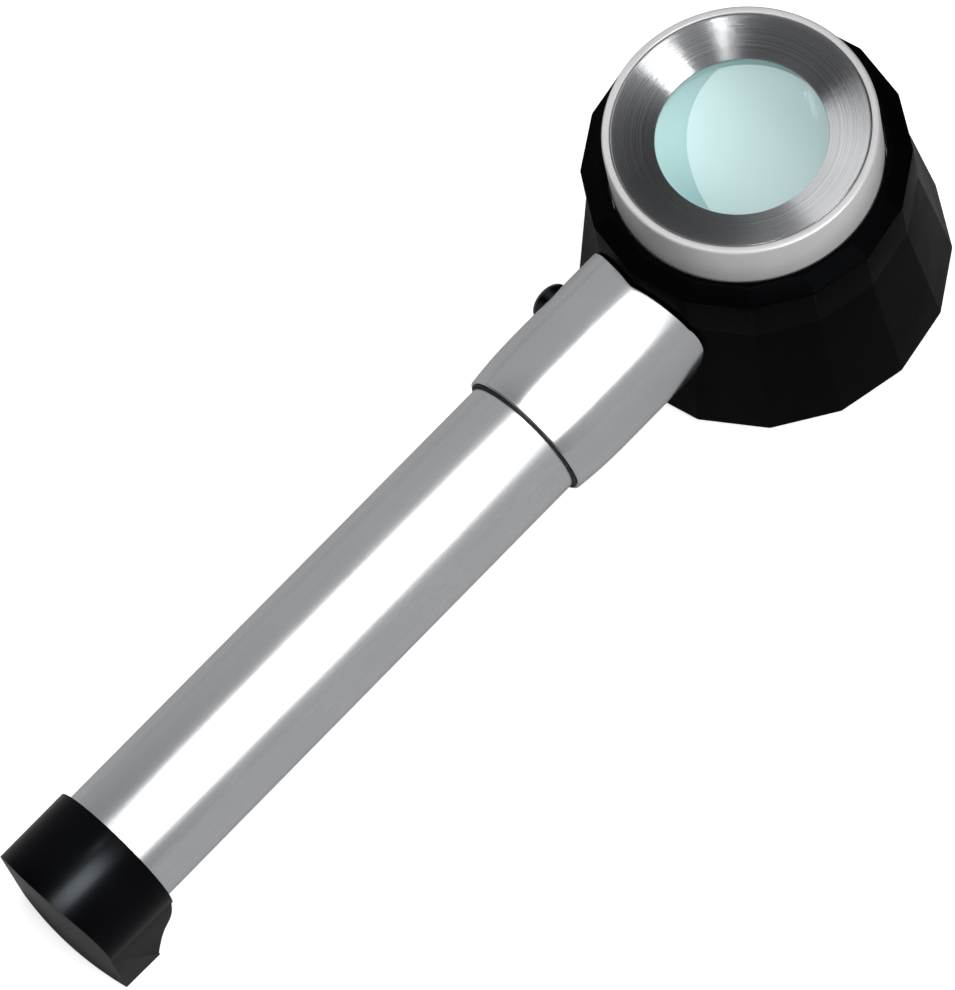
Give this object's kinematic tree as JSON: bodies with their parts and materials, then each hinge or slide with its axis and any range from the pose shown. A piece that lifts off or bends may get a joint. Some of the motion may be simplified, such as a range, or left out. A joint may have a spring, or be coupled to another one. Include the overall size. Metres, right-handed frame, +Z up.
{
  "type": "illuminated measuring loupe",
  "caption": "Hand loupe with a turning focus ring, faceted black head, measuring reticle and a lit metal battery handle resting on a squared foot.",
  "frame": {"origin": "on the optical axis, in the plane of the head's base, which stands on the surface being read", "axes": "+Z runs up the optical axis towards the eye; the handle runs out along -Y, sloping down to its foot; +X is to the right seen from the handle's end"},
  "size_m": [0.051, 0.159, 0.0386],
  "materials": {
    "black_plastic": "near-black moulded plastic with a fine satin grain",
    "button_plastic": "glossy black domed button",
    "satin_aluminium": "satin anodised aluminium",
    "turned_aluminium": "lathe-turned aluminium with concentric tool marks",
    "tube_aluminium": "satin drawn aluminium tube",
    "reticle_metal": "matt silver ring",
    "lens_glass": "coated optical glass with a pale cyan cast",
    "reticle_glass": "glass printed with a white field, black scales and a clear square window",
    "dull_black": "dull black anodised metal",
    "seal_rubber": "black rubber",
    "contact_brass": "bare brass",
    "board": "green glass-fibre circuit board",
    "switch_plastic": "black switch case",
    "liner_plastic": "grey plastic liner",
    "battery_wrap": "plain printed battery sleeve without lettering",
    "spring_steel": "nickel-plated steel",
    "screw_steel": "zinc-plated steel",
    "led_resin": "clear resin lamp body"
  },
  "bodies": {
    "grip": {"head_housing": "black_plastic", "base_plate": "black_plastic", "base_screw_1": "screw_steel", "base_screw_2": "screw_steel", "base_screw_3": "screw_steel", "reticle_glass": "reticle_glass", "reticle_ring": "reticle_metal", "led_board": "board", "white_led_1": "led_resin", "white_led_2": "led_resin", "white_led_3": "led_resin", "white_led_4": "led_resin", "board_screw_1": "screw_steel", "board_screw_2": "screw_steel", "guide_sleeve": "dull_black", "barrel_clip": "spring_steel", "neck_bush": "dull_black", "collar": "satin_aluminium", "seam_ring": "seal_rubber", "switch_board": "board", "switch_body": "switch_plastic", "front_contact": "contact_brass", "handle_tube": "tube_aluminium", "battery_liner": "liner_plastic"},
    "focus_ring": {"focus_barrel": "satin_aluminium", "eyepiece_bezel": "turned_aluminium"},
    "lens_carrier": {"lens_cell": "dull_black", "eye_lens": "lens_glass", "lens_spacer": "dull_black", "field_lens": "lens_glass", "cell_retainer": "dull_black", "guide_key": "contact_brass"},
    "button": {"switch_button": "button_plastic"},
    "cap": {"end_cap": "black_plastic", "cap_seal": "seal_rubber", "cap_contact": "spring_steel", "battery_spring": "spring_steel"},
    "cell_1": {"battery_1": "battery_wrap"},
    "cell_2": {"battery_2": "battery_wrap"}
  },
  "joints": [
    {"name": "focus_turn", "type": "hinge", "parent": "grip", "child": "focus_ring", "pos_m": [0, 0, 0.03], "axis": [0, 0, 1], "range_deg": [-150, 150]},
    {"name": "lens_travel", "type": "slide", "parent": "grip", "child": "lens_carrier", "axis": [0, 0, 1], "range_m": [-0.001, 0.001]},
    {"name": "switch_press", "type": "slide", "parent": "grip", "child": "button", "axis": [1, 0, 0], "range_m": [0, 0.0006], "stiffness_N_per_m": 500},
    {"name": "cap_off", "type": "slide", "parent": "grip", "child": "cap", "axis": [0, -0.999, -0.0436], "range_m": [0, 0.06]},
    {"name": "cell_2_out", "type": "slide", "parent": "grip", "child": "cell_2", "axis": [0, -0.999, -0.0436], "range_m": [0, 0.046]},
    {"name": "cell_1_out", "type": "slide", "parent": "grip", "child": "cell_1", "axis": [0, -0.999, -0.0436], "range_m": [0, 0.031]}
  ],
  "couplings": [
    {"joint": "focus_turn", "follows": "lens_travel", "rad_per_m": 2617.9},
    {"joint": "cell_2_out", "follows": "cap_off", "ratio": 0.75},
    {"joint": "cell_1_out", "follows": "cap_off", "ratio": 0.5}
  ]
}
